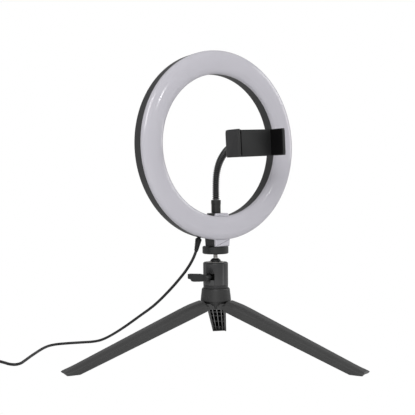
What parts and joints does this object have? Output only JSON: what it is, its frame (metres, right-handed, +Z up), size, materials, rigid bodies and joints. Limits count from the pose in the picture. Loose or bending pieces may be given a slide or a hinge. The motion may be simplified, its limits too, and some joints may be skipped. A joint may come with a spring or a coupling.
{
  "type": "ring light",
  "caption": "Table ring light with a goose-neck phone clamp, on a ball head and a folding tripod, with an in-line controller on its USB cord.",
  "frame": {"origin": "middle of the object's footprint, on the floor under its feet, without the cord", "axes": "+Z up; the ring faces -Y; +X is to the right of someone looking at the lit face"},
  "size_m": [0.4926, 0.4673, 0.4247],
  "materials": {
    "grey_nylon": "fine-grained moulded plastic, matt",
    "black_abs": "smooth moulded plastic, satin",
    "opal_acrylic": "opal light-diffusing plastic, soft sheen",
    "black_rubber": "matt rubber",
    "bright_steel": "bright nickel plate",
    "brass": "turned brass",
    "white_board": "white solder mask on a circuit board",
    "white_acetal": "smooth bearing plastic",
    "cord_vinyl": "matt vinyl jacket"
  },
  "bodies": {
    "tripod": {"tripod_hub": "grey_nylon", "hub_screw": "bright_steel", "head_base": "grey_nylon", "head_housing": "grey_nylon", "rim_ring": "bright_steel", "leg_left_pin": "bright_steel", "leg_front_pin": "bright_steel", "leg_back_pin": "bright_steel", "cord_run": "cord_vinyl", "cord_coil": "cord_vinyl", "cord_tie": "black_rubber", "cord_lead": "cord_vinyl", "cord_tail": "cord_vinyl", "control_base": "black_abs", "control_cover": "black_abs", "control_board": "white_board", "usb_plug": "black_abs", "usb_shield": "bright_steel"},
    "leg_left": {"leg_left": "grey_nylon"},
    "leg_front": {"leg_front": "grey_nylon"},
    "leg_back": {"leg_back": "grey_nylon"},
    "knob": {"clamp_knob": "black_abs", "clamp_screw": "bright_steel"},
    "ball_seat": {"ball_cup": "white_acetal"},
    "ball": {"ball_stud": "bright_steel", "ball_collar": "black_abs"},
    "disc": {"lock_disc": "black_abs"},
    "lamp": {"rear_shell": "black_abs", "front_diffuser": "opal_acrylic", "led_board": "white_board", "shell_screw_1": "bright_steel", "shell_screw_2": "bright_steel", "shell_screw_3": "bright_steel", "shell_screw_4": "bright_steel", "thread_insert": "brass", "hose_ferrule": "black_abs", "strain_relief": "black_rubber"},
    "hose_lower": {"hose_lower": "black_rubber"},
    "hose_middle": {"hose_middle": "black_rubber"},
    "hose_upper": {"hose_upper": "black_rubber"},
    "hose_end": {"hose_end": "black_rubber", "swivel_ball": "bright_steel"},
    "holder_swivel": {"swivel_nut": "black_abs"},
    "holder": {"clamp_body": "black_abs", "clamp_cover": "black_abs", "pad_fixed": "black_rubber", "guide_rod_1": "bright_steel", "guide_rod_2": "bright_steel", "clamp_spring_1": "bright_steel", "clamp_spring_2": "bright_steel", "cover_screw_1": "bright_steel", "cover_screw_2": "bright_steel"},
    "jaw": {"clamp_jaw": "black_abs", "pad_sliding": "black_rubber"},
    "button_power": {"button_power": "black_rubber"},
    "button_colour": {"button_colour": "black_rubber"},
    "button_brighter": {"button_brighter": "black_rubber"},
    "button_dimmer": {"button_dimmer": "black_rubber"}
  },
  "joints": [
    {"name": "leg_back_fold", "type": "hinge", "parent": "tripod", "child": "leg_back", "pos_m": [0.05147, 0.03453, 0.0726], "axis": [-0.7771, 0.6293, 0], "range_deg": [0, 69]},
    {"name": "leg_left_fold", "type": "hinge", "parent": "tripod", "child": "leg_left", "pos_m": [0.01266, 0.01963, 0.0726], "axis": [-0.1564, -0.9877, 0], "range_deg": [0, 69]},
    {"name": "leg_front_fold", "type": "hinge", "parent": "tripod", "child": "leg_front", "pos_m": [0.04497, -0.00653, 0.0726], "axis": [0.9336, 0.3584, 0], "range_deg": [0, 69]},
    {"name": "knob_turn", "type": "hinge", "parent": "tripod", "child": "knob", "pos_m": [0.0129, 0.00724, 0.1135], "axis": [-0.9385, -0.3453, 0], "range_deg": [0, 330]},
    {"name": "ball_turn", "type": "hinge", "parent": "tripod", "child": "ball_seat", "pos_m": [0.03637, 0.01587, 0.126], "axis": [0, 0, 1], "continuous": true, "deforming": ["cord_run"]},
    {"name": "ball_tilt", "type": "hinge", "parent": "ball_seat", "child": "ball", "pos_m": [0.03637, 0.01587, 0.126], "axis": [1, 0, 0], "range_deg": [-15, 15], "deforming": ["cord_run"]},
    {"name": "head_turn", "type": "hinge", "parent": "ball", "child": "lamp", "pos_m": [0.03637, 0.01587, 0.152], "axis": [0, 0, 1], "continuous": true, "deforming": ["cord_run"]},
    {"name": "disc_turn", "type": "hinge", "parent": "ball", "child": "disc", "pos_m": [0.03637, 0.01587, 0.1505], "axis": [0, 0, 1], "continuous": true},
    {"name": "hose_lower_bend", "type": "hinge", "parent": "lamp", "child": "hose_lower", "pos_m": [0.03637, 0.01387, 0.2248], "axis": [1, 0, 0], "range_deg": [-20, 20]},
    {"name": "hose_middle_bend", "type": "hinge", "parent": "hose_lower", "child": "hose_middle", "pos_m": [0.03637, 0.01227, 0.254], "axis": [1, 0, 0], "range_deg": [-20, 20]},
    {"name": "hose_upper_bend", "type": "hinge", "parent": "hose_middle", "child": "hose_upper", "pos_m": [0.03637, 0.00337, 0.2738], "axis": [1, 0, 0], "range_deg": [-20, 20]},
    {"name": "hose_end_bend", "type": "hinge", "parent": "hose_upper", "child": "hose_end", "pos_m": [0.03637, -0.01363, 0.2888], "axis": [1, 0, 0], "range_deg": [-20, 20]},
    {"name": "holder_tilt", "type": "hinge", "parent": "hose_end", "child": "holder_swivel", "pos_m": [0.03637, -0.04463, 0.2949], "axis": [1, 0, 0], "range_deg": [-15, 15]},
    {"name": "holder_turn", "type": "hinge", "parent": "holder_swivel", "child": "holder", "pos_m": [0.03637, -0.04463, 0.2949], "axis": [0, 1, 0], "continuous": true},
    {"name": "jaw_slide", "type": "slide", "parent": "holder", "child": "jaw", "axis": [-0.9986, 0, -0.0523], "range_m": [0, 0.017], "stiffness_N_per_m": 160, "springref_m": -0.008, "deforming": ["clamp_spring_1", "clamp_spring_2"]},
    {"name": "button_power_press", "type": "slide", "parent": "tripod", "child": "button_power", "axis": [0, 0, -1], "range_m": [0, 0.001], "stiffness_N_per_m": 400},
    {"name": "button_colour_press", "type": "slide", "parent": "tripod", "child": "button_colour", "axis": [0, 0, -1], "range_m": [0, 0.001], "stiffness_N_per_m": 400},
    {"name": "button_brighter_press", "type": "slide", "parent": "tripod", "child": "button_brighter", "axis": [0, 0, -1], "range_m": [0, 0.001], "stiffness_N_per_m": 400},
    {"name": "button_dimmer_press", "type": "slide", "parent": "tripod", "child": "button_dimmer", "axis": [0, 0, -1], "range_m": [0, 0.001], "stiffness_N_per_m": 400}
  ]
}
